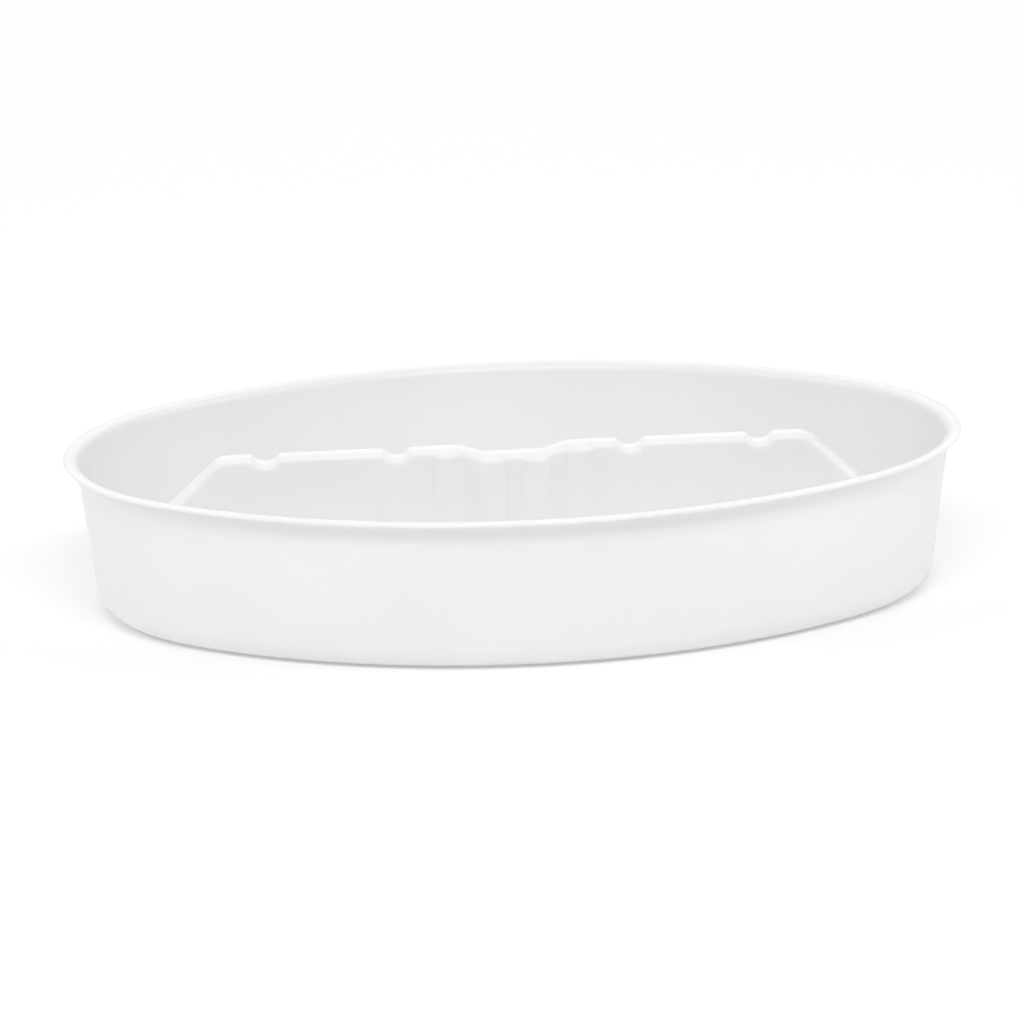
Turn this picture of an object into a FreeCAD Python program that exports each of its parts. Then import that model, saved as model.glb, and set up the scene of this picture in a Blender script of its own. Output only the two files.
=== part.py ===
"""Oval paint roller tray with a lift-out divider, as a parametric FreeCAD document in millimetres.

The tray is one formed sheet: a flat floor, a wide base corner, a drafted wall and an outward lip on a
four-arc oval. The divider is a second formed sheet, a hollow ridge that stands across the tray on the long
axis: a straight crest with four drain notches, sloped ends that follow the base corner, and a fluted
finger grip in the middle whose crest dips into a cradle for a handle.

Frame: X along the tray's length, Y across it, Z up, origin on the floor plane at the tray's centre.
"""

import FreeCAD, Part

import math
import os

import Sketcher

# Driving dimensions, in millimetres and degrees. Each becomes a named cell of the sheet.
DIMENSIONS = {
    "tray_length": 400.0,  # over the lip, along X
    "tray_width": 280.0,  # over the lip, along Y
    "tray_height": 70.0,  # underside of the floor to the top of the lip
    "end_radius": 108.0,  # lip outline: the arc at each end of the oval
    "lip_width": 5.0,  # lip edge to the wall's outer face
    "lip_round": 5.0,  # inside bend from wall to lip
    "lip_root": 3.0,  # outside bend under the lip
    "lip_edge": 0.5,  # rounding of the lip's trimmed edge
    "wall_draft": 7.3,  # the wall leans out by this angle
    "base_corner": 12.0,  # outside radius between wall and floor
    "gauge": 1.5,  # thickness of both formed sheets
    "bar_length": 24.0,  # roll-off bars raised from the floor of the rear well
    "bar_width": 7.0,
    "bar_height": 2.0,
    "bar_draft": 25.0,
    "pad_length": 26.0,  # the two pads on the floor that centre the divider
    "pad_height": 4.0,
    "pad_place": 90.0,  # each pad's distance from the middle, along X
    "fit_gap": 1.2,  # clearance round the pads and at the divider's ends
    "crest_height": 67.5,  # underside of the tray's floor to the divider's crest
    "crest_half": 131.0,  # half the length of the straight crest
    "crest_width": 10.0,  # thickness across the crest
    "crest_round": 3.5,
    "crest_corner": 10.0,  # rounding where the crest turns into each sloped end
    "ridge_draft": 5.0,  # each face of the divider leans in by this angle
    "slope_angle": 43.0,  # sloped ends, from the horizontal
    "notch_near": 52.0,  # drain notches, distance from the middle
    "notch_far": 110.0,
    "notch_radius": 7.0,
    "notch_depth": 3.3,
    "cradle_floor": 13.0,  # half the length of the cradle's low part
    "cradle_mouth": 24.0,  # half its length at the crest
    "cradle_depth": 3.4,
    "column_near": 9.9,  # the grip's rounded columns, distance from the middle
    "column_far": 29.5,
    "column_radius": 8.0,  # under the dome
    "column_draft": 4.0,
    "column_dome": 2.8,  # rise of each column's domed top
    "column_drop": 0.3,  # the domed top below the crest, or below the cradle's floor
}

# Roll-off bars: the rows' distances from the middle along Y, and the bars that the oval floor has room for.
BAR_ROWS = ((33.0, 8), (48.0, 7), (63.0, 6), (78.0, 5), (93.0, 4))
BAR_PITCH = 36.0

ORIGIN, X_AXIS, Y_AXIS = -1, -1, -2  # geometry numbers that a sketch gives its own origin and axes
START, END, CENTRE = 1, 2, 3  # point numbers of a sketch element
TOLERANCE = 1e-3

doc = FreeCAD.newDocument("RollerTray")
dims = doc.addObject("Spreadsheet::Sheet", "Dims")
for row, (alias, amount) in enumerate(DIMENSIONS.items(), start=1):
    dims.set(f"A{row}", alias)
    dims.set(f"B{row}", str(amount))
    dims.setAlias(f"B{row}", alias)
doc.recompute()

# Lengths that several features share, as formulas of the sheet's cells.
WALL_LEAN = "Dims.tray_height * tan(Dims.wall_draft)"
FLOOR_INSET = f"(Dims.lip_width + {WALL_LEAN})"
RIDGE_WIDTH = "(Dims.crest_width + 2 * Dims.crest_height * tan(Dims.ridge_draft))"
RIDGE_SKIN = "(Dims.gauge / cos(Dims.ridge_draft))"
FACE_SHIFT = "(tan(Dims.ridge_draft) - 1 / cos(Dims.ridge_draft))"
INNER_LEAN = "(Dims.tray_height - Dims.gauge) * tan(Dims.wall_draft)"
TUB_INSET = f"(Dims.lip_width + {INNER_LEAN} + Dims.gauge / cos(Dims.wall_draft))"
PAD_WIDTH = f"({RIDGE_WIDTH} - 2 * {RIDGE_SKIN} - 2 * Dims.fit_gap)"
BAR = ("Dims.bar_length", "Dims.bar_width", "Dims.bar_height")
PAD = ("Dims.pad_length", PAD_WIDTH, "Dims.pad_height")
SUNK_MARGIN = "2 * Dims.gauge * (1 / cos(Dims.bar_draft) - tan(Dims.bar_draft))"


def value(formula):
    """A formula of the sheet's cells as a plain number."""
    answer = dims.evalExpression(formula)
    return float(getattr(answer, "Value", answer))


def new_body(label):
    body = doc.addObject("PartDesign::Body", label)
    body.Label = label
    return body


def origin_feature(body, role):
    """One of a body's own planes or axes."""
    return next(feature for feature in body.Origin.OriginFeatures if feature.Role == role)


def new_sketch(body, name, role="XY_Plane", lift=None):
    """A sketch on one of the body's own planes, moved along the plane's normal by a formula."""
    sketch = body.newObject("Sketcher::SketchObject", name)
    sketch.AttachmentSupport = [(origin_feature(body, role), "")]
    sketch.MapMode = "FlatFace"
    if lift is not None:
        sketch.setExpression("AttachmentOffset.Base.z", lift)
    return sketch


def size(sketch, name, formula, kind, *where):
    """A dimensional constraint with a name, bound to a formula of the sheet's cells."""
    number = sketch.addConstraint(Sketcher.Constraint(kind, *where, value(formula)))
    sketch.renameConstraint(number, name)
    sketch.setExpression(f"Constraints.{name}", formula)


def rule(sketch, kind, *where):
    """A geometric constraint."""
    sketch.addConstraint(Sketcher.Constraint(kind, *where))


def oval(sketch, name, inset):
    """A closed oval of four tangent arcs: the lip's outline, moved inwards by a formula."""
    first = sketch.GeometryCount
    half_length = f"(Dims.tray_length / 2 - {inset})"
    half_width = f"(Dims.tray_width / 2 - {inset})"
    end_radius = f"(Dims.end_radius - {inset})"
    a, b, r = value(half_length), value(half_width), value(end_radius)
    side = ((a - r) ** 2 + b * b - r * r) / (2 * (b - r))
    turn = math.atan2(side - b, a - r)
    arcs = (
        (a - r, 0, r, -turn, turn),
        (0, b - side, side, turn, math.pi - turn),
        (r - a, 0, r, math.pi - turn, math.pi + turn),
        (0, side - b, side, math.pi + turn, 2 * math.pi - turn),
    )
    for x, y, radius, begin, finish in arcs:
        circle = Part.Circle(FreeCAD.Vector(x, y, 0), FreeCAD.Vector(0, 0, 1), radius)
        sketch.addGeometry(Part.ArcOfCircle(circle, begin, finish), False)
    top = sketch.addGeometry(Part.Point(FreeCAD.Vector(0, b, 0)), True)
    right, rear, left, front = range(first, first + 4)
    for one, other in ((right, rear), (rear, left), (left, front), (front, right)):
        rule(sketch, "Tangent", one, END, other, START)
    rule(sketch, "PointOnObject", right, CENTRE, X_AXIS)
    rule(sketch, "PointOnObject", left, CENTRE, X_AXIS)
    rule(sketch, "Equal", right, left)
    rule(sketch, "Equal", rear, front)
    rule(sketch, "PointOnObject", top, START, Y_AXIS)
    rule(sketch, "PointOnObject", top, START, rear)
    size(sketch, f"{name}_end", end_radius, "Radius", right)
    reach = f"{half_length} - {end_radius}"
    size(sketch, f"{name}_right", reach, "DistanceX", ORIGIN, START, right, CENTRE)
    size(sketch, f"{name}_left", reach, "DistanceX", left, CENTRE, ORIGIN, START)
    size(sketch, f"{name}_side", half_width, "DistanceY", ORIGIN, START, top, START)


def slot(sketch, name, x, y, length, width):
    """A closed straight slot along X, its centre at fixed x and y, its length and width by formulas."""
    first = sketch.GeometryCount
    radius, reach = value(f"{width} / 2"), value(f"({length} - {width}) / 2")
    for side, begin in ((1, -math.pi / 2), (-1, math.pi / 2)):
        centre = FreeCAD.Vector(x + side * reach, y, 0)
        circle = Part.Circle(centre, FreeCAD.Vector(0, 0, 1), radius)
        sketch.addGeometry(Part.ArcOfCircle(circle, begin, begin + math.pi), False)
    for side in (1, -1):
        ends = [FreeCAD.Vector(x + side * reach * k, y + side * radius, 0) for k in (1, -1)]
        sketch.addGeometry(Part.LineSegment(*ends), False)
    right, left, rear, front = range(first, first + 4)
    for one, other in ((right, rear), (rear, left), (left, front), (front, right)):
        rule(sketch, "Tangent", one, END, other, START)
    rule(sketch, "Equal", right, left)
    size(sketch, f"{name}_radius", f"{width} / 2", "Radius", right)
    size(sketch, f"{name}_length", f"{length} - {width}", "DistanceX", left, CENTRE, right, CENTRE)
    rule(sketch, "Horizontal", rear)
    sketch.addConstraint(Sketcher.Constraint("DistanceY", ORIGIN, START, right, CENTRE, y))
    middle = sketch.addConstraint(
        Sketcher.Constraint("DistanceX", ORIGIN, START, right, CENTRE, x + reach)
    )
    sketch.renameConstraint(middle, f"{name}_place")
    sketch.setExpression(f"Constraints.{name}_place", f"{x} + ({length} - {width}) / 2")


def full_circle(sketch, name, x, y, radius):
    """A full circle with its centre and radius by formulas."""
    middle = FreeCAD.Vector(value(x), value(y), 0)
    ring = sketch.addGeometry(Part.Circle(middle, FreeCAD.Vector(0, 0, 1), value(radius)), False)
    size(sketch, f"{name}_radius", radius, "Radius", ring)
    size(sketch, f"{name}_x", x, "DistanceX", ORIGIN, START, ring, CENTRE)
    size(sketch, f"{name}_y", y, "DistanceY", ORIGIN, START, ring, CENTRE)


def extrude(body, kind, name, sketch, length, taper=None, both_ways=False, turned=False):
    """Adds (Pad) or cuts (Pocket) along a sketch's normal, its sides leaning out by a taper formula."""
    feature = body.newObject(f"PartDesign::{kind}", name)
    feature.Profile = sketch
    feature.setExpression("Length", length)
    if taper is not None:
        feature.setExpression("TaperAngle", taper)
    if both_ways:
        feature.SideType = "Symmetric"
    feature.Reversed = turned
    return feature


def edges_where(shape, test):
    """Names of the edges that pass a test."""
    return [f"Edge{n}" for n, edge in enumerate(shape.Edges, start=1) if test(edge)]


def faces_where(shape, test):
    """Names of the faces that pass a test."""
    return [f"Face{n}" for n, face in enumerate(shape.Faces, start=1) if test(face)]


def round_edges(body, name, base, test, radius):
    """Fillets the edges of a feature that pass a test."""
    doc.recompute()
    feature = body.newObject("PartDesign::Fillet", name)
    feature.Base = (base, edges_where(base.Shape, test))
    feature.setExpression("Radius", radius)
    return feature


def at_height(level):
    """A test for edges that lie wholly at one height."""
    return lambda edge: abs(edge.BoundBox.ZMin - level) + abs(edge.BoundBox.ZMax - level) < TOLERANCE


def emboss(body, name, x, y, sizes):
    """A slot raised from the floor, with the matching hollow that forming leaves underneath."""
    length, width, height = sizes
    raised = new_sketch(body, f"{name}Outline", lift="Dims.gauge")
    slot(raised, "bar", x, y, length, width)
    sunk = new_sketch(body, f"{name}Underside")
    slot(sunk, "hollow", x, y, f"({length} - {SUNK_MARGIN})", f"({width} - {SUNK_MARGIN})")
    lean = "0 - Dims.bar_draft"
    bump = extrude(body, "Pad", name, raised, height, lean)
    hollow = extrude(body, "Pocket", f"{name}Hollow", sunk, height, lean, turned=True)
    return [bump, hollow]


def make_tray():
    """The tray: one formed sheet with its lip, base corner, roll-off bars and divider pads."""
    body = new_body("tray_shell")
    height, gauge = value("Dims.tray_height"), value("Dims.gauge")

    outline = new_sketch(body, "FloorOutline")
    oval(outline, "floor", FLOOR_INSET)
    block = extrude(body, "Pad", "WallBlock", outline, "Dims.tray_height", "Dims.wall_draft")
    corner = round_edges(body, "BaseCorner", block, at_height(0), "Dims.base_corner")

    doc.recompute()
    hollow = body.newObject("PartDesign::Thickness", "Hollow")
    mouth = faces_where(corner.Shape, lambda face: face.BoundBox.ZMin > height - TOLERANCE)
    hollow.Base = (corner, mouth)
    hollow.setExpression("Value", "Dims.gauge")
    hollow.Reversed = True
    hollow.Join = 1

    ring = new_sketch(body, "LipOutline", lift="Dims.tray_height - Dims.gauge")
    oval(ring, "lip_outer", "0")
    oval(ring, "lip_inner", "(Dims.lip_width + Dims.gauge / 2)")
    lip = extrude(body, "Pad", "Lip", ring, "Dims.gauge")

    half_length, half_width = value("Dims.tray_length / 2"), value("Dims.tray_width / 2")

    def at_outline(edge):
        box = edge.BoundBox
        along, across = max(box.XMax, -box.XMin), max(box.YMax, -box.YMin)
        return along > half_length - TOLERANCE or across > half_width - TOLERANCE

    def lip_mouth(edge):
        return at_height(height)(edge) and not at_outline(edge)

    def lip_under(edge):
        return at_height(height - gauge)(edge) and not at_outline(edge)

    def lip_rim(edge):
        return at_outline(edge) and edge.BoundBox.ZLength < TOLERANCE

    bend = round_edges(body, "LipBend", lip, lip_mouth, "Dims.lip_round")
    root = round_edges(body, "LipRoot", bend, lip_under, "Dims.lip_root")
    round_edges(body, "LipEdge", root, lip_rim, "Dims.lip_edge")

    for row, (y, count) in enumerate(BAR_ROWS, start=1):
        reach = (count - 1) * BAR_PITCH
        bar = emboss(body, f"BarRow{row}", -reach / 2, y, BAR)
        repeat = body.newObject("PartDesign::LinearPattern", f"BarRow{row}Pattern")
        repeat.Originals = bar
        repeat.Direction = (origin_feature(body, "X_Axis"), [""])
        repeat.Length = reach
        repeat.Occurrences = count
        body.Tip = repeat
    place = value("Dims.pad_place")
    for name, x in (("PadRight", place), ("PadLeft", -place)):
        emboss(body, name, x, 0, PAD)
    return body


def trapezoid(sketch, name, low, high, low_half, high_half):
    """A closed trapezoid about the sketch's Y axis, from its levels and half-lengths by formulas."""
    z_low, z_high, x_low, x_high = (value(f) for f in (low, high, low_half, high_half))
    corners = [
        FreeCAD.Vector(*xz, 0)
        for xz in ((-x_low, z_low), (x_low, z_low), (x_high, z_high), (-x_high, z_high))
    ]
    for number in range(4):
        sketch.addGeometry(Part.LineSegment(corners[number], corners[(number + 1) % 4]), False)
    foot, right, crest, left = range(4)
    for one, other in ((foot, right), (right, crest), (crest, left), (left, foot)):
        rule(sketch, "Coincident", one, END, other, START)
    rule(sketch, "Symmetric", foot, START, foot, END, Y_AXIS)
    rule(sketch, "Symmetric", crest, START, crest, END, Y_AXIS)
    size(sketch, f"{name}_low", low, "DistanceY", ORIGIN, START, foot, END)
    size(sketch, f"{name}_high", high, "DistanceY", ORIGIN, START, crest, START)
    size(sketch, f"{name}_low_half", low_half, "DistanceX", ORIGIN, START, foot, END)
    size(sketch, f"{name}_high_half", high_half, "DistanceX", ORIGIN, START, crest, START)


def column(body, name, x, top, inset):
    """One rounded column of the finger grip: a cone that narrows upwards and ends in a dome."""
    sketch = new_sketch(body, f"{name}Profile", "XZ_Plane")
    sketch.setExpression("AttachmentOffset.Base.x", x)
    shoulder = f"({top} - Dims.column_dome)"
    peak = f"({top} - {inset})"
    wide = f"(Dims.column_radius - {inset})"
    foot = f"({wide} + {shoulder} * tan(Dims.column_draft))"
    z_top, z_side, r_side, r_foot = (value(f) for f in (peak, shoulder, wide, foot))
    rise = z_top - z_side
    dome = (r_side**2 + rise**2) / (2 * rise)
    side_angle = math.asin((dome - rise) / dome)
    points = [FreeCAD.Vector(*xz, 0) for xz in ((0, 0), (r_foot, 0), (r_side, z_side), (0, z_top))]
    circle = Part.Circle(FreeCAD.Vector(0, z_top - dome, 0), FreeCAD.Vector(0, 0, 1), dome)
    sketch.addGeometry(Part.LineSegment(points[0], points[1]), False)
    sketch.addGeometry(Part.LineSegment(points[1], points[2]), False)
    sketch.addGeometry(Part.ArcOfCircle(circle, side_angle, math.pi / 2), False)
    sketch.addGeometry(Part.LineSegment(points[3], points[0]), False)
    floor, side, cap, axis = range(4)
    for one, other in ((floor, side), (side, cap), (cap, axis), (axis, floor)):
        rule(sketch, "Coincident", one, END, other, START)
    rule(sketch, "Coincident", floor, START, ORIGIN, START)
    rule(sketch, "Horizontal", floor)
    rule(sketch, "Vertical", axis)
    rule(sketch, "PointOnObject", cap, CENTRE, Y_AXIS)
    size(sketch, "foot_radius", foot, "DistanceX", ORIGIN, START, floor, END)
    size(sketch, "top_radius", wide, "DistanceX", ORIGIN, START, side, END)
    size(sketch, "shoulder", shoulder, "DistanceY", ORIGIN, START, side, END)
    size(sketch, "peak", peak, "DistanceY", ORIGIN, START, cap, END)
    turned = body.newObject("PartDesign::Revolution", name)
    turned.Profile = sketch
    turned.ReferenceAxis = (sketch, ["V_Axis"])
    turned.Angle = 360


def ridge_form(name, inset):
    """The divider as a solid ridge, its faces moved inwards by a formula."""
    body = new_body(name)
    crest = f"(Dims.crest_height - {inset})"
    crest_half = f"(Dims.crest_half - {inset} * tan(Dims.slope_angle / 2))"
    foot_half = f"({crest_half} + {crest} / tan(Dims.slope_angle))"
    crest_side = f"(Dims.crest_width / 2 + {inset} * {FACE_SHIFT})"
    foot_side = f"({crest_side} + {crest} * tan(Dims.ridge_draft))"
    blank = body.newObject("PartDesign::AdditiveWedge", f"{name}Blank")
    blank.AttachmentSupport = [(origin_feature(body, "XZ_Plane"), "")]
    blank.MapMode = "FlatFace"
    for low, high, reach in (
        ("Xmin", "Xmax", foot_half),
        ("Zmin", "Zmax", foot_side),
        ("X2min", "X2max", crest_half),
        ("Z2min", "Z2max", crest_side),
    ):
        setattr(blank, low, -value(reach))
        setattr(blank, high, value(reach))
        blank.setExpression(low, f"0 - {reach}")
        blank.setExpression(high, reach)
    blank.Ymin = 0
    blank.Ymax = value(crest)
    blank.setExpression("Ymax", crest)
    width = f"2 * {foot_side}"

    def crest_end(edge):
        return at_height(value(crest))(edge) and edge.BoundBox.XLength < TOLERANCE

    def crest_rim(edge):
        return edge.BoundBox.XLength > TOLERANCE and edge.BoundBox.ZMax > TOLERANCE

    corner = round_edges(body, f"{name}Corner", blank, crest_end, f"Dims.crest_corner - {inset}")
    round_edges(body, f"{name}Round", corner, crest_rim, f"Dims.crest_round - {inset}")

    notches = new_sketch(body, f"{name}NotchCircles", "XZ_Plane")
    for number, place in enumerate(("notch_near", "notch_far")):
        for side in (1, -1):
            full_circle(
                notches,
                f"notch{number}_{'right' if side > 0 else 'left'}",
                f"{side} * Dims.{place}",
                "Dims.crest_height + Dims.notch_radius - Dims.notch_depth",
                f"(Dims.notch_radius + {inset})",
            )
    extrude(body, "Pocket", f"{name}Notches", notches, width, both_ways=True)

    cradle = new_sketch(body, f"{name}CradleProfile", "XZ_Plane")
    low = f"(Dims.crest_height - Dims.cradle_depth - {inset})"
    reach = "Dims.cradle_mouth - Dims.cradle_floor"
    high_half = f"Dims.cradle_mouth + ({reach})"
    trapezoid(cradle, "cradle", low, f"{low} + 2 * Dims.cradle_depth", "Dims.cradle_floor", high_half)
    extrude(body, "Pocket", f"{name}Cradle", cradle, width, both_ways=True)

    crown = "Dims.crest_height - Dims.column_drop"
    for place, top in (("near", f"({crown} - Dims.cradle_depth)"), ("far", f"({crown})")):
        column(body, f"{name}Column_{place}_right", f"Dims.column_{place}", top, inset)
        column(body, f"{name}Column_{place}_left", f"0 - Dims.column_{place}", top, inset)
    return body


def make_divider():
    """The divider: a formed ridge, open underneath, its ends cut to the tub's inside with a gap."""
    outside = ridge_form("RidgeOutside", "0")
    inside = ridge_form("RidgeInside", "Dims.gauge")
    sheet = doc.addObject("Part::Cut", "RidgeSheet")
    sheet.Base = outside
    sheet.Tool = inside

    room = new_body("TubRoom")
    outline = new_sketch(room, "RoomOutline", lift="Dims.gauge")
    oval(outline, "room", f"({TUB_INSET} + Dims.fit_gap)")
    block = extrude(room, "Pad", "RoomBlock", outline, "Dims.tray_height", "Dims.wall_draft")
    gauge = value("Dims.gauge")
    round_edges(room, "RoomCorner", block, at_height(gauge), "Dims.base_corner - Dims.gauge")

    divider = doc.addObject("Part::Common", "divider")
    divider.Label = "divider"
    divider.Base = sheet
    divider.Tool = room
    return divider


tray = make_tray()
divider = make_divider()
doc.recompute()

for thing in doc.Objects:
    bad = [word for word in ("Invalid", "Error") if word in thing.State]
    if bad:
        raise RuntimeError(f"{thing.Name} is {bad}")

os.makedirs("parts", exist_ok=True)
for piece in (tray, divider):
    if piece.Shape.isNull() or not piece.Shape.isValid():
        raise RuntimeError(f"{piece.Label} has no valid shape")
    piece.Placement = FreeCAD.Placement()
    piece.Shape.exportStep(f"parts/{piece.Label}.step")
    print(piece.Label, len(piece.Shape.Solids), round(piece.Shape.Volume, 1))
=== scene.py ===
"""Looks of the oval paint roller tray: two thin formed sheets of milky white plastic, in metres."""

import math

import bpy
import numpy as np
from mathutils import Matrix, Vector
from mathutils.geometry import delaunay_2d_cdt


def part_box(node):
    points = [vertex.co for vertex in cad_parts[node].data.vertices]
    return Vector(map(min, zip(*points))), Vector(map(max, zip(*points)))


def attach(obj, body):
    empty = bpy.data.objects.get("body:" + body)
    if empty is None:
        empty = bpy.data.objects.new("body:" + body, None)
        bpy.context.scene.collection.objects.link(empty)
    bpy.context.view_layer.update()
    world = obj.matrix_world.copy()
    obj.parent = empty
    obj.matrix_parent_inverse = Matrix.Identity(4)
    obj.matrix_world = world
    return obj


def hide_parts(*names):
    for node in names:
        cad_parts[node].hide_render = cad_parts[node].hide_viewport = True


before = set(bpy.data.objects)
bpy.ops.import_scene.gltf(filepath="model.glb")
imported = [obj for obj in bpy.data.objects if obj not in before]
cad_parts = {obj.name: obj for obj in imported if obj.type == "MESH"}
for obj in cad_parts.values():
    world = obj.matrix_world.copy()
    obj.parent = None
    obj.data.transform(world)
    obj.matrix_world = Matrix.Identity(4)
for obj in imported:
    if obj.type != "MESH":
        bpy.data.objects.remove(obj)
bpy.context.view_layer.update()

MM = 0.001
TRAY_LOW, TRAY_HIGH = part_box("tray_shell")
RIDGE_LOW, RIDGE_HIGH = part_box("divider")
MARGIN = 0.05 * MM  # how far the pieces stay inside the CAD box

# The tray's sheet
GAUGE = RIDGE_LOW.z - TRAY_LOW.z  # the divider stands on the floor's upper face
HALF_LENGTH = min(TRAY_HIGH.x, -TRAY_LOW.x) - MARGIN
HALF_WIDTH = min(TRAY_HIGH.y, -TRAY_LOW.y) - MARGIN
TRAY_HEIGHT = TRAY_HIGH.z - MARGIN
WALL_ANGLE = math.radians(90 - 7.3)
BASE_RADIUS = 12 * MM
LIP_WIDTH = 5 * MM  # from the lip's edge to the wall's outer face, both taken at the lip's height
LIP_RADIUS = 3.15 * MM
LIP_DROOP = math.radians(11)
LIP_FLAT = 1.15 * MM
OVAL_TURN = math.radians(51.6)  # direction of the outline's normal where its end curves meet its sides
OVAL_BLEND = math.radians(16)
AROUND = 480  # points round the oval
WALL_SWAY = 0.55 * MM  # how far the lip wanders inwards at most
LIP_DIP = 0.35 * MM  # how far it wanders down at most
FLOOR_GRID = 7 * MM  # spacing of the floor's triangles
GRID_ROW = 0.866  # distance between their rows, in spacings

# Roll-off bars and the pads that centre the divider: sizes are length, width, height
BAR_ROWS = ((33 * MM, 8), (48 * MM, 7), (63 * MM, 6), (78 * MM, 5), (93 * MM, 4))  # y, number of bars
BAR_PITCH = 36 * MM
BAR_SIZE = (24 * MM, 7 * MM, 2 * MM)
PAD_PLACE = 90 * MM
PAD_SIZE = (26 * MM, 16.1 * MM, 4 * MM)
BAR_SLOPE = math.radians(25)  # of their sides, from upright
BAR_FOOT = 0.9 * MM  # height of the rounded bend at the foot
BAR_SHOULDER = 0.7 * MM  # height of the one at the top
BAR_CAP = 1.2 * MM  # how much smaller than the shoulder the flat top's own ring is

# The divider
CREST = RIDGE_HIGH.z - MARGIN
FOOT = RIDGE_LOW.z
CREST_HALF = 131 * MM
CREST_SIDE = 5 * MM
CREST_CORNER = 10 * MM
CREST_ROUND = 3.5 * MM
FACE_LEAN = math.tan(math.radians(5))
SLOPE = math.radians(43)
NOTCHES = (-110 * MM, -52 * MM, 52 * MM, 110 * MM)
NOTCH_RADIUS = 7 * MM
NOTCH_DEPTH = 3.3 * MM
NOTCH_BLEND = 1.3 * MM
CRADLE_FLOOR, CRADLE_MOUTH, CRADLE_DEPTH = 13 * MM, 24 * MM, 3.4 * MM
CRADLE_BLEND = 1.0 * MM
COLUMNS = (  # x, and how far the crest is cut down there
    (-29.5 * MM, 0.0),
    (-9.9 * MM, CRADLE_DEPTH),
    (9.9 * MM, CRADLE_DEPTH),
    (29.5 * MM, 0.0),
)
COLUMN_RADIUS = 8.0 * MM
COLUMN_LEAN = math.tan(math.radians(4))
COLUMN_DOME = 2.8 * MM
COLUMN_DROP = 0.3 * MM
COLUMN_GROOVE = 0.6 * MM  # blend between two columns
COLUMN_BLEND = 0.8 * MM  # blend between a column and the face
DIVIDER_BOW = 0.35 * MM  # how far its crest wanders to either side at most
BOW_LENGTH = 70 * MM
STATIONS = 283  # sections between the toes
TOE_STATIONS = 21
HALF_SECTION = 62  # points from the foot to the middle of the crest

# Each end of the divider is cut to the tub's inside, a gap away: an arc at its foot, then the wall's slope.
TOE_GAP = 1.2 * MM
TOE_RADIUS = BASE_RADIUS - GAUGE
TOE_ARC = TOE_RADIUS * math.sin(WALL_ANGLE)
WALL_INSET = LIP_WIDTH + (TRAY_HEIGHT - GAUGE) / math.tan(WALL_ANGLE) + GAUGE / math.sin(WALL_ANGLE)
TOE_X = HALF_LENGTH - WALL_INSET - TOE_GAP - TOE_RADIUS * math.tan(WALL_ANGLE / 2)
TOE_BOW = 90 * MM  # radius, in plan, of the tub's end there


def smooth_max(a, b, k):
    """The larger of the two, rounded over where they differ by less than k."""
    h = np.clip(0.5 + 0.5 * (a - b) / k, 0, 1)
    return b + (a - b) * h + k * h * (1 - h)


def smooth_min(a, b, k):
    """The smaller of the two, rounded in the same way."""
    return -smooth_max(-a, -b, k)


def wave(angle, *terms):
    """A gentle unevenness round the oval, from 0 down to -1 at its lowest."""
    total = sum(size * np.cos(count * angle + shift) for count, size, shift in terms)
    span = sum(size for _, size, _ in terms)
    return (total - span) / (2 * span)


# ---------------------------------------------------------------- the oval

def oval_outline():
    """The lip's outline: points, and the outward normal's direction at each, evenly spaced round it."""
    angle = np.linspace(0, math.pi / 2, 4001)
    blend = np.clip((angle - OVAL_TURN) / OVAL_BLEND + 0.5, 0, 1)
    side = blend * blend * (3 - 2 * blend)
    step = angle[1] - angle[0]

    def total(values):
        return float(np.sum((values[1:] + values[:-1]) / 2) * step)

    # x and y reach are linear in the two radii of curvature, the end's and the side's.
    reach = np.array(
        [
            [total((1 - side) * np.sin(angle)), total(side * np.sin(angle))],
            [total((1 - side) * np.cos(angle)), total(side * np.cos(angle))],
        ]
    )
    end_radius, side_radius = np.linalg.solve(reach, [HALF_LENGTH, HALF_WIDTH])
    radius = end_radius * (1 - side) + side_radius * side

    def running(values):
        return np.concatenate([[0], np.cumsum((values[1:] + values[:-1]) / 2) * step])

    x = HALF_LENGTH - running(radius * np.sin(angle))
    y = running(radius * np.cos(angle))
    along = running(radius)
    even = np.linspace(0, along[-1], AROUND // 4 + 1)[:-1]
    quarter = np.interp(even, along, angle)
    qx, qy = np.interp(quarter, angle, x), np.interp(quarter, angle, y)
    # The second quarter is the first one mirrored, and runs on from the point at the oval's top.
    top = (math.pi / 2, 0.0, HALF_WIDTH)
    half = [(a, px, py) for a, px, py in zip(quarter, qx, qy)] + [top]
    half += [(math.pi - a, -px, py) for a, px, py in list(zip(quarter, qx, qy))[:0:-1]]
    half = np.array(half)
    other = half.copy()
    other[:, 0] += math.pi
    other[:, 1:] *= -1
    ring = np.vstack([half, other])
    return ring[:, 1:], ring[:, 0]


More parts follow.
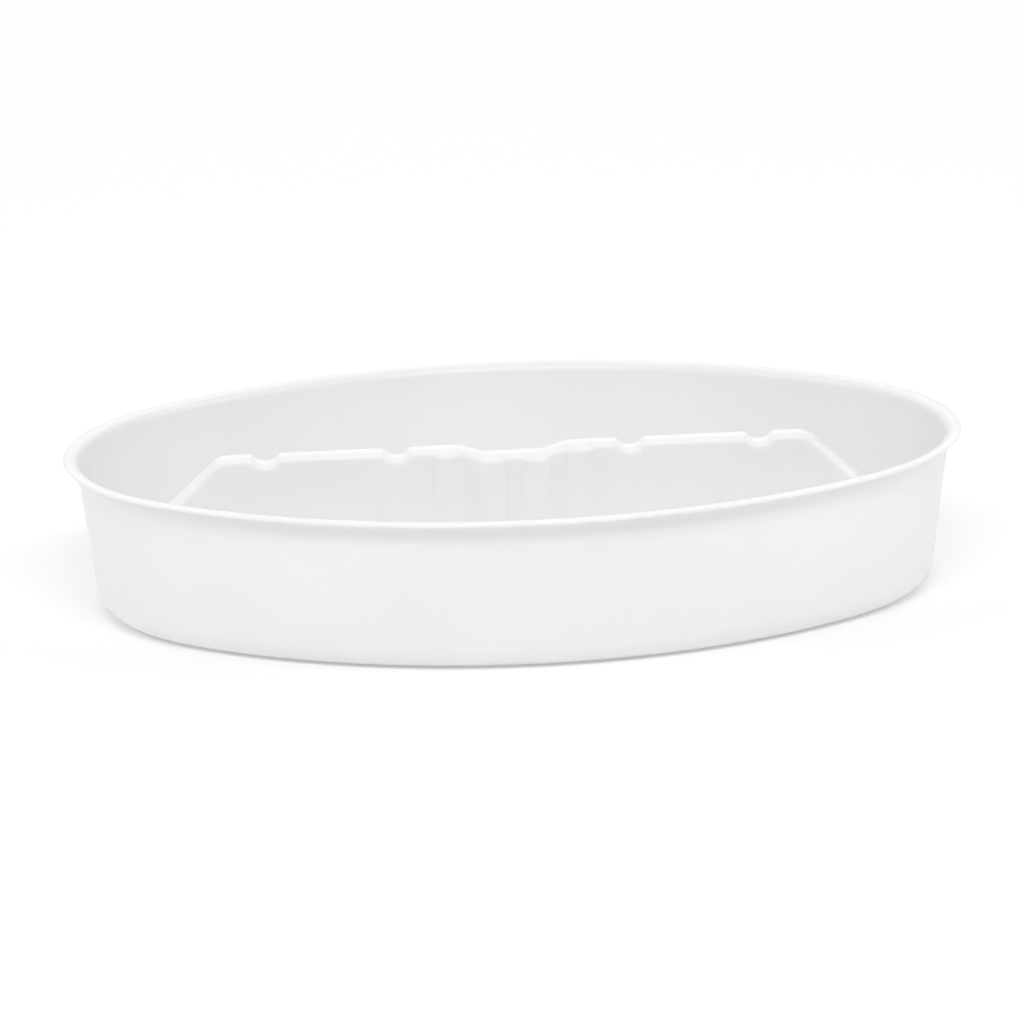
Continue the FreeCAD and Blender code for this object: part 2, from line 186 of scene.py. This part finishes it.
def sheet_profile():
    """The tray's wall from floor to lip as the middle of its sheet: outward reach, height and direction."""
    corner = BASE_RADIUS - GAUGE / 2
    bend = LIP_RADIUS + GAUGE / 2
    turned = WALL_ANGLE + LIP_DROOP
    rise = GAUGE / 2 + corner * (1 - math.cos(WALL_ANGLE))
    crown = bend * (1 - math.cos(WALL_ANGLE)) + GAUGE / 2
    wall = (TRAY_HEIGHT - rise - crown) / math.sin(WALL_ANGLE)
    # Radius or length, angle turned, number of steps
    pieces = (
        (corner, WALL_ANGLE, 18),
        (wall, 0.0, 26),
        (bend, -turned, 16),
        (LIP_FLAT, 0.0, 3),
    )
    u, z, heading = 0.0, GAUGE / 2, 0.0
    points = [(u, z, heading)]
    for size, turn, count in pieces:
        for _ in range(count):
            if turn:
                sweep = turn / count
                chord = 2 * size * math.sin(abs(sweep) / 2)
                u += chord * math.cos(heading + sweep / 2)
                z += chord * math.sin(heading + sweep / 2)
                heading += sweep
            else:
                u += size / count * math.cos(heading)
                z += size / count * math.sin(heading)
            points.append((u, z, heading))
    return np.array(points)


def sheet_section():
    """The whole loop of the section: upper skin outwards, round the lip's edge, lower skin inwards."""
    profile = sheet_profile()
    u, z, heading = profile.T
    normal_u, normal_z = -np.sin(heading), np.cos(heading)
    upper = np.stack([u + normal_u * GAUGE / 2, z + normal_z * GAUGE / 2], 1)
    lower = np.stack([u - normal_u * GAUGE / 2, z - normal_z * GAUGE / 2], 1)
    tip, end = profile[-1, :2], heading[-1]
    edge = [
        tip + GAUGE / 2 * np.array([math.cos(end + a), math.sin(end + a)])
        for a in np.linspace(math.pi / 2, -math.pi / 2, 9)[1:-1]
    ]
    section = np.vstack([upper, edge, lower[::-1]])
    section[:, 0] -= section[:, 0].max()
    return section


# ---------------------------------------------------------------- mesh helpers

def new_piece(name, vertices, faces, material, body, node):
    mesh = bpy.data.meshes.new(name)
    mesh.from_pydata([tuple(v) for v in vertices], [], faces)
    mesh.validate()
    mesh.shade_smooth()
    mesh.materials.append(material)
    piece = bpy.data.objects.new(name, mesh)
    bpy.context.scene.collection.objects.link(piece)
    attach(piece, body)
    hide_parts(node)
    return piece


def slot_ring(centre, length, width, count=32):
    """Points round a straight slot along X."""
    radius, reach = width / 2, (length - width) / 2
    quarter = np.linspace(-math.pi / 2, math.pi / 2, count // 2)
    right = [(reach + radius * math.cos(a), radius * math.sin(a)) for a in quarter]
    left = [(-x, -y) for x, y in right]
    return np.array(right + left) + centre


def bump_profile(size, sunk):
    """(inset from the slot's edge, height) across a raised bar, or its hollow in the lower skin."""
    height = size[2]
    lean = math.tan(BAR_SLOPE)
    shift = GAUGE * (1 / math.cos(BAR_SLOPE) - lean) if sunk else 0.0
    foot, top = (BAR_SHOULDER, BAR_FOOT) if sunk else (BAR_FOOT, BAR_SHOULDER)  # a hollow is the reverse
    points = []
    for share in np.linspace(0, 1, 13):
        z = share * height
        inset = z * lean
        # Round both bends: the foot spreads outwards, the top draws inwards.
        low = max(0.0, 1 - z / foot)
        high = max(0.0, 1 - (height - z) / top)
        inset += -0.45 * foot * low**2 + 0.6 * top * high**2
        points.append((inset + shift, z))
    return points


class Skin:
    """Vertices and faces of one closed mesh, added ring by ring."""

    def __init__(self):
        self.vertices = []
        self.faces = []

    def ring(self, points):
        """Adds the points and gives their numbers."""
        first = len(self.vertices)
        self.vertices.extend([tuple(p) for p in points])
        return list(range(first, first + len(points)))

    def band(self, one, other, flip=False):
        """Faces between two rings with as many points each."""
        count = len(one)
        for k in range(count):
            m = (k + 1) % count
            quad = (one[k], one[m], other[m], other[k])
            self.faces.append(quad[::-1] if flip else quad)

    def cap(self, ring, flip=False):
        self.faces.append(tuple(ring[::-1] if flip else ring))


def are_inside(points, ring):
    """Which points are inside a closed ring that runs anticlockwise and bulges outwards everywhere."""
    side = np.roll(ring, -1, 0) - ring
    away = points[:, None, :] - ring[None, :, :]
    return np.all(side[:, 0] * away[..., 1] > side[:, 1] * away[..., 0], axis=1)


def fill_floor(skin, outer, holes, level, flip):
    """A flat floor between the outer ring and the rings of its bars, as triangles of even size."""
    loops = [outer, *holes]
    rings = [np.array([skin.vertices[i][:2] for i in loop]) for loop in loops]
    edges, first = [], 0
    for loop in loops:
        count = len(loop)
        edges += [(first + k, first + (k + 1) % count) for k in range(count)]
        first += count

    reach = np.abs(rings[0]).max(0)
    columns = np.arange(-reach[0], reach[0], FLOOR_GRID)
    lattice = [
        (x + (row % 2) * FLOOR_GRID / 2, y)
        for row, y in enumerate(np.arange(-reach[1], reach[1], FLOOR_GRID * GRID_ROW))
        for x in columns
    ]
    lattice = np.array(lattice)
    keep = are_inside(lattice, rings[0])
    for ring in rings[1:]:
        keep &= ~are_inside(lattice, ring)
    lattice = lattice[keep]
    border = np.vstack(rings)
    nearest = np.linalg.norm(lattice[:, None, :] - border[None, :, :], axis=2).min(1)
    lattice = lattice[nearest > FLOOR_GRID * 0.55]  # nearer points would make slivers

    indices = [i for loop in loops for i in loop]
    indices += skin.ring([(x, y, level) for x, y in lattice])
    points = [Vector(p) for p in np.vstack([border, lattice])]
    placed, _, triangles, sources, _, _ = delaunay_2d_cdt(points, edges, [], 0, 1e-7)
    middles = np.array([np.mean([placed[k] for k in t], axis=0) for t in triangles])
    drop = np.zeros(len(triangles), bool)
    for ring in rings[1:]:
        drop |= are_inside(middles, ring)
    for triangle, dropped in zip(triangles, drop):
        if not dropped:
            face = [indices[sources[k][0]] for k in triangle]
            skin.faces.append(tuple(face[::-1] if flip else face))


def add_bump(skin, centre, size, level, sunk):
    """One raised bar, or its hollow: rings from the floor up, closed on top. Returns its lowest ring."""
    rings = []
    for inset, rise in bump_profile(size, sunk):
        outline = slot_ring(centre, size[0] - 2 * inset, size[1] - 2 * inset)
        rings.append(skin.ring([(x, y, level + rise) for x, y in outline]))
    for lower, upper in zip(rings, rings[1:]):
        skin.band(lower, upper, flip=sunk)
    inner = bump_profile(size, sunk)[-1][0]
    closing = slot_ring(centre, size[0] - 2 * inner - BAR_CAP, size[1] - 2 * inner - BAR_CAP)
    last = skin.ring([(x, y, level + size[2]) for x, y in closing])
    skin.band(rings[-1], last, flip=sunk)
    skin.cap(last, flip=sunk)
    return rings[0]


def make_tray(material):
    outline, normal_angle = oval_outline()
    outward = np.stack([np.cos(normal_angle), np.sin(normal_angle)], 1)
    section = sheet_section()
    skin = Skin()
    loops = []
    # The thin sheet isn't quite true: the wall and lip wander by a few tenths of a millimetre.
    sway = wave(normal_angle, (2, 1.0, 0.4), (3, 0.7, 2.1), (5, 0.45, 0.9), (9, 0.2, 3.3))
    dip = wave(normal_angle, (2, 0.8, 1.9), (4, 0.7, 0.2), (7, 0.4, 2.7), (11, 0.15, 1.1))
    for u, z in section:
        share = min(1.0, max(0.0, (z - BASE_RADIUS * 0.4) / TRAY_HEIGHT))
        shift = u + WALL_SWAY * share * sway
        level = z + LIP_DIP * share**3 * dip
        ring = outline + outward * shift[:, None]
        loops.append(skin.ring(np.column_stack([ring, level])))
    for one, other in zip(loops, loops[1:]):
        skin.band(one, other, flip=True)

    centres = [
        ((number - (count - 1) / 2) * BAR_PITCH, y)
        for y, count in BAR_ROWS
        for number in range(count)
    ]
    bumps = [(centre, BAR_SIZE) for centre in centres]
    bumps += [((side * PAD_PLACE, 0.0), PAD_SIZE) for side in (1, -1)]
    # The floor's upper skin with the bars and pads, then its lower skin with their hollows.
    for level, outer, sunk in ((GAUGE, loops[0], False), (0.0, loops[-1], True)):
        holes = [add_bump(skin, centre, size, level, sunk) for centre, size in bumps]
        fill_floor(skin, outer, holes, level, flip=sunk)
    return new_piece("tray", skin.vertices, skin.faces, material, "tray", "tray_shell")


# ---------------------------------------------------------------- the divider

def crest_line(x):
    """Height of the divider's top along its length, with its notches and cradle."""
    ax = np.abs(x)
    centre = CREST_HALF - CREST_CORNER * math.tan(SLOPE / 2)
    turn = CREST_CORNER * math.sin(SLOPE)
    bend = CREST - CREST_CORNER + np.sqrt(np.maximum(CREST_CORNER**2 - (ax - centre) ** 2, 0))
    slope = CREST - (ax - CREST_HALF) * math.tan(SLOPE)
    top = np.where(ax < centre, CREST, np.where(ax < centre + turn, bend, slope))
    for place in NOTCHES:
        away = np.abs(x - place)
        middle = CREST + NOTCH_RADIUS - NOTCH_DEPTH
        bowl = middle - np.sqrt(np.maximum(NOTCH_RADIUS**2 - away**2, 0))
        bowl = np.where(away < NOTCH_RADIUS, bowl, middle + (away - NOTCH_RADIUS) * 3)
        top = smooth_min(top, bowl, NOTCH_BLEND)
    ramp = CRADLE_DEPTH / (CRADLE_MOUTH - CRADLE_FLOOR)
    cradle = CREST - CRADLE_DEPTH + np.maximum(0, ax - CRADLE_FLOOR) * ramp
    return smooth_min(top, cradle, CRADLE_BLEND)


def foot_line(x, y):
    """Height of the trimmed lower edge, which follows the tub's base corner and wall at each end."""
    beyond = np.abs(x) + y * y / (2 * TOE_BOW) - TOE_X
    on_arc = np.clip(beyond, 0, TOE_ARC)
    arc = FOOT + TOE_RADIUS - np.sqrt(TOE_RADIUS**2 - on_arc**2)
    return arc + np.maximum(beyond - TOE_ARC, 0) * math.tan(WALL_ANGLE)


def column_side(x, z):
    """How far the rounded columns stand out at a station, at each height."""
    best = np.zeros_like(z)
    for place, drop in COLUMNS:
        peak = CREST - COLUMN_DROP - drop
        shoulder = peak - COLUMN_DOME
        dome = (COLUMN_RADIUS**2 + COLUMN_DOME**2) / (2 * COLUMN_DOME)
        radius = np.where(
            z < shoulder,
            COLUMN_RADIUS + (shoulder - z) * COLUMN_LEAN,
            np.sqrt(np.maximum(dome**2 - (z - peak + dome) ** 2, 0)),
        )
        radius = np.where(z > peak, 0, radius)
        best = smooth_max(best, np.sqrt(np.maximum(radius**2 - (x - place) ** 2, 0)), COLUMN_GROOVE)
    return best


def ridge_section(x, count):
    """Half a section of the divider at one station, from its foot to the middle of its crest."""
    top = float(crest_line(np.array([x]))[0])
    gap = 0.5 * MM
    pitch = float(np.diff(crest_line(np.array([x - gap, x + gap])))[0]) / (2 * gap)
    side = CREST_SIDE + (CREST - FOOT) * FACE_LEAN
    low = float(foot_line(np.array([x]), np.array([side * 0.9]))[0])
    rise = min(CREST_ROUND * math.hypot(1, pitch), 0.8 * (top - low))
    z = np.concatenate([np.linspace(low, top - rise, 200)[:-1], top - rise * np.linspace(1, 0, 120) ** 2])
    lean = CREST_SIDE + (CREST - z) * FACE_LEAN
    over = np.clip((z - (top - rise)) / rise, 0, 1)
    ridge = lean - CREST_ROUND * (1 - np.sqrt(1 - over**2))
    width = smooth_max(ridge, column_side(x, z), COLUMN_BLEND)
    points = np.column_stack([-width, z])
    flat = np.linspace(-width[-1], 0, 20)[1:]
    points = np.vstack([points, np.column_stack([flat, np.full(19, top)])])
    along = np.concatenate([[0], np.cumsum(np.hypot(*np.diff(points, axis=0).T))])
    even = np.linspace(0, along[-1], count)
    return np.column_stack([np.interp(even, along, points[:, k]) for k in (0, 1)])


def make_divider(material):
    # The ends stop where the sheet is as tall as it is thick, just short of a knife edge.
    scan = np.linspace(TOE_X, RIDGE_HIGH.x, 2000)
    tall = crest_line(scan) - foot_line(scan, CREST_SIDE + (CREST - BASE_RADIUS) * FACE_LEAN)
    reach = scan[tall > GAUGE].max()
    stations = np.linspace(-TOE_X, TOE_X, STATIONS)
    toe = np.linspace(TOE_X, reach, TOE_STATIONS + 1)[1:]
    stations = np.concatenate([-toe[::-1], stations, toe])
    sections = []
    for x in stations:
        front = ridge_section(x, HALF_SECTION)
        rear = front[-2::-1] * (-1, 1)
        section = np.vstack([front, rear])
        sections.append(np.column_stack([np.full(len(section), x), section]))
    grid = np.array(sections)
    grid[..., 1] += DIVIDER_BOW * np.sin(grid[..., 0] / BOW_LENGTH + 0.6) * ((grid[..., 2] - FOOT) / CREST)

    along = np.gradient(grid, stations, axis=0)
    across = np.gradient(grid, axis=1)
    normal = np.cross(along, across)
    normal /= np.linalg.norm(normal, axis=2, keepdims=True)
    inner = grid - normal * GAUGE
    inner[..., 0] = np.clip(inner[..., 0], -reach, reach)
    for skin in (grid, inner):
        low = foot_line(skin[..., 0], skin[..., 1])
        skin[..., 2] = np.maximum(skin[..., 2], low)
    rows, columns = grid.shape[:2]
    vertices = np.vstack([grid.reshape(-1, 3), inner.reshape(-1, 3)])
    faces = []
    total = rows * columns
    for i in range(rows - 1):
        for j in range(columns - 1):
            a = i * columns + j
            quad = (a, a + columns, a + columns + 1, a + 1)
            faces.append(quad)
            faces.append(tuple(k + total for k in quad[::-1]))
    # The rim joins the two skins along both long edges of the foot and both ends.
    rim = [i * columns for i in range(rows)]
    rim += [(rows - 1) * columns + j for j in range(1, columns)]
    rim += [i * columns + columns - 1 for i in range(rows - 2, -1, -1)]
    rim += [j for j in range(columns - 2, 0, -1)]
    for k, one in enumerate(rim):
        other = rim[(k + 1) % len(rim)]
        faces.append((one, one + total, other + total, other))
    return new_piece("divider_ridge", vertices, faces, material, "divider", "divider")


# ---------------------------------------------------------------- materials

WARMTH = (1.0, 1.0, 0.997)
TRANSLUCENCE = 0.7
REFRACTION = 1.49
CLOUD_SHADE = 0.975  # the darkest clouds, as a share of the white
SATIN, SCUFFED = 0.30, 0.46  # roughness where it is least and most rubbed
# Scale of each pattern in repeats per metre, and for relief its strength and depth
CLOUD_SCALE = 14
SCUFF_SCALE = 60
PEEL_SCALE, PEEL_STRENGTH, PEEL_DEPTH = 420, 0.10, 0.6 * MM
SWELL_SCALE, SWELL_STRENGTH, SWELL_DEPTH = 26, 0.22, 2.2 * MM


def plastic(name, white, depth, seed):
    """Milky plastic: faint clouds of thickness, fine moulding texture, scuffs and a satin skin."""
    material = bpy.data.materials.new(name)
    material.use_nodes = True
    nodes, links = material.node_tree.nodes, material.node_tree.links
    shader = nodes["Principled BSDF"]
    shader.inputs["Subsurface Weight"].default_value = TRANSLUCENCE
    shader.inputs["Subsurface Radius"].default_value = (1.0, 1.0, 1.0)
    shader.inputs["Subsurface Scale"].default_value = depth
    shader.inputs["IOR"].default_value = REFRACTION
    place = nodes.new("ShaderNodeTexCoord")

    def noise(scale, detail, rough=0.5):
        texture = nodes.new("ShaderNodeTexNoise")
        texture.noise_dimensions = "4D"
        texture.inputs["W"].default_value = seed
        texture.inputs["Scale"].default_value = scale
        texture.inputs["Detail"].default_value = detail
        texture.inputs["Roughness"].default_value = rough
        links.new(place.outputs["Object"], texture.inputs["Vector"])
        return texture.outputs["Fac"]

    def ramp(source, low, high, start, end):
        remap = nodes.new("ShaderNodeMapRange")
        for key, number in (("From Min", start), ("From Max", end), ("To Min", low), ("To Max", high)):
            remap.inputs[key].default_value = number
        links.new(source, remap.inputs["Value"])
        return remap.outputs["Result"]

    clouds = ramp(noise(CLOUD_SCALE, 3), 0.0, 1.0, 0.35, 0.65)
    shade = nodes.new("ShaderNodeMix")
    shade.data_type = "RGBA"
    shade.inputs["A"].default_value = (*[CLOUD_SHADE * white * c for c in WARMTH], 1)
    shade.inputs["B"].default_value = (*[white * c for c in WARMTH], 1)
    links.new(clouds, shade.inputs["Factor"])
    links.new(shade.outputs["Result"], shader.inputs["Base Color"])

    rub = ramp(noise(SCUFF_SCALE, 6, 0.7), SATIN, SCUFFED, 0.35, 0.7)
    links.new(rub, shader.inputs["Roughness"])

    peel = nodes.new("ShaderNodeBump")
    peel.inputs["Strength"].default_value = PEEL_STRENGTH
    peel.inputs["Distance"].default_value = PEEL_DEPTH
    links.new(noise(PEEL_SCALE, 3), peel.inputs["Height"])
    swell = nodes.new("ShaderNodeBump")
    swell.inputs["Strength"].default_value = SWELL_STRENGTH
    swell.inputs["Distance"].default_value = SWELL_DEPTH
    links.new(noise(SWELL_SCALE, 2), swell.inputs["Height"])
    links.new(swell.outputs["Normal"], peel.inputs["Normal"])
    links.new(peel.outputs["Normal"], shader.inputs["Normal"])
    return material


# ---------------------------------------------------------------- the studio

BENCH_MIDDLE = Vector((0, 0, 0.04))
FLOOR_SIZE = 14
FLOOR_PLACE = (0, 2, TRAY_LOW.z - 0.02 * MM)  # just under the tray
FLOOR_GREY = 0.80
FLOOR_GLOW = 0.20
SKY_LIGHT = 0.41
LIGHT_DISTANCE = 2.5
LIGHTS = (  # name, azimuth, elevation, width and height, watts
    ("front_soft", 0, 50, (1.6, 0.6), 23),
    ("left_soft", -75, 35, (1.0, 1.0), 11.5),
    ("right_soft", 75, 35, (1.0, 1.0), 11.5),
    ("rear_soft", 180, 38, (4.0, 2.4), 28),
)
CAMERA_TARGET = Vector((0, 0, 0.030))
CAMERA_AZIMUTH, CAMERA_ELEVATION, CAMERA_ROLL = -3.45, 15.73, -1.71  # degrees
CAMERA_DISTANCE = 2.902
CAMERA_LENS = 228.5  # millimetres
CAMERA_SHIFT = (-0.0032, 0.0117)


def make_floor():
    bpy.ops.mesh.primitive_plane_add(size=FLOOR_SIZE, location=FLOOR_PLACE)
    floor = bpy.context.object
    floor.name = "studio_floor"
    material = bpy.data.materials.new("studio_floor")
    material.use_nodes = True
    shader = material.node_tree.nodes["Principled BSDF"]
    shader.inputs["Base Color"].default_value = (FLOOR_GREY, FLOOR_GREY, FLOOR_GREY, 1)
    shader.inputs["Roughness"].default_value = 0.9
    shader.inputs["Emission Color"].default_value = (1, 1, 1, 1)
    shader.inputs["Emission Strength"].default_value = FLOOR_GLOW
    floor.data.materials.append(material)


def direction(azimuth, elevation):
    """From the tray: azimuth 0 is towards the front, 90 to the right."""
    turn, rise = math.radians(azimuth), math.radians(elevation)
    return Vector((math.sin(turn) * math.cos(rise), -math.cos(turn) * math.cos(rise), math.sin(rise)))


def area_light(name, place, size, power):
    """A rectangular light that faces the tray."""
    data = bpy.data.lights.new(name, "AREA")
    data.shape = "RECTANGLE"
    data.size, data.size_y = size
    data.energy = power
    light = bpy.data.objects.new(name, data)
    light.location = place
    light.rotation_euler = (BENCH_MIDDLE - place).to_track_quat("-Z", "Y").to_euler()
    bpy.context.scene.collection.objects.link(light)


def make_light():
    world = bpy.data.worlds.new("studio")
    world.use_nodes = True
    sky = world.node_tree.nodes["Background"]
    sky.inputs["Color"].default_value = (1, 1, 1, 1)
    sky.inputs["Strength"].default_value = SKY_LIGHT
    bpy.context.scene.world = world
    for name, azimuth, elevation, size, power in LIGHTS:
        place = BENCH_MIDDLE + LIGHT_DISTANCE * direction(azimuth, elevation)
        area_light(name, place, size, power)


def make_camera():
    """The camera stands low and a little to the left of the tray's front."""
    back = direction(CAMERA_AZIMUTH, CAMERA_ELEVATION)
    roll = Matrix.Rotation(math.radians(CAMERA_ROLL), 3, "Z")
    data = bpy.data.cameras.new("camera")
    data.sensor_width = 36
    data.lens = CAMERA_LENS
    data.shift_x, data.shift_y = CAMERA_SHIFT
    camera = bpy.data.objects.new("camera", data)
    turn = (-back).to_track_quat("-Z", "Y").to_matrix() @ roll
    camera.matrix_world = Matrix.Translation(CAMERA_TARGET + back * CAMERA_DISTANCE) @ turn.to_4x4()
    bpy.context.scene.collection.objects.link(camera)
    bpy.context.scene.camera = camera


make_tray(plastic("tray_plastic", 0.83, 4 * MM, 3.1))
# The divider is the same plastic as the tray. Its brighter white (0.92 against the tray's 0.83) is painted
# light: it lifts a face that sits in shade inside the tub and over its own dark hollow.
make_divider(plastic("divider_plastic", 0.92, 0.6 * MM, 8.4))
make_floor()
make_light()
make_camera()
bpy.context.scene.view_settings.view_transform = "Standard"
